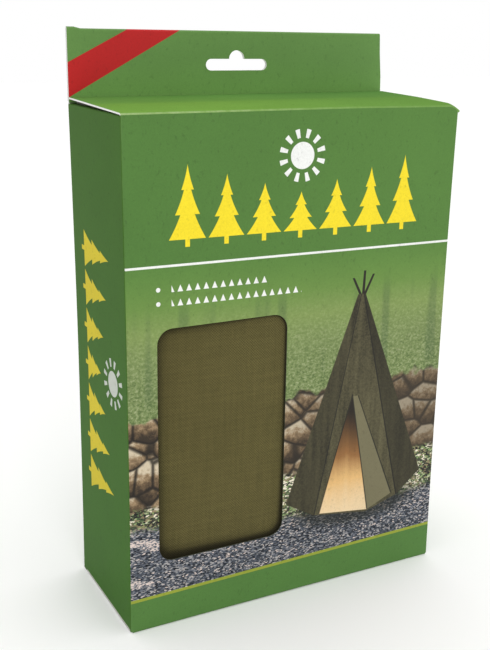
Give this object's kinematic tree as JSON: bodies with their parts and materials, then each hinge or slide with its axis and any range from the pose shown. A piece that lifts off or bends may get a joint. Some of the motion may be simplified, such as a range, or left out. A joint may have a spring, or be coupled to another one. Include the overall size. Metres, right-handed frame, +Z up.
{
  "type": "windowed retail carton holding a folded canvas log carrier",
  "caption": "Tall printed board carton with a hang tab, a window and a fold-back lid, holding a fan-folded canvas log carrier with webbing handles.",
  "frame": {"origin": "centre of the bounding box at the carton's base", "axes": "+Z up along the carton's height, -Y out of the front panel with the window, +X to the right seen from the front"},
  "size_m": [0.165, 0.065, 0.2616],
  "materials": {
    "printed_board": "offset-printed folding board, satin varnish",
    "raw_board": "unprinted folding board, matt",
    "canvas": "plain-woven olive canvas, matt",
    "binding": "black woven binding tape",
    "webbing": "black woven webbing"
  },
  "bodies": {
    "carton": {"front_panel": "printed_board", "left_side_panel": "printed_board", "right_side_panel": "printed_board", "back_panel": "printed_board", "hang_tab_front_ply": "printed_board", "seam_flap": "raw_board", "top_dust_flap_left": "raw_board", "top_dust_flap_right": "raw_board", "bottom_dust_flap_left": "raw_board", "bottom_dust_flap_right": "raw_board", "bottom_panel": "printed_board", "bottom_tuck_flap": "raw_board", "canvas_body": "canvas", "front_edge_binding": "binding", "rear_edge_binding": "binding", "lower_handle": "webbing", "upper_handle": "webbing", "handle_grip": "canvas"},
    "lid": {"top_panel": "printed_board", "top_tuck_flap": "raw_board"}
  },
  "joints": [
    {"name": "lid_hinge", "type": "hinge", "parent": "carton", "child": "lid", "pos_m": [0, -0.0325, 0.231], "axis": [1, 0, 0], "range_deg": [0, 180]}
  ]
}
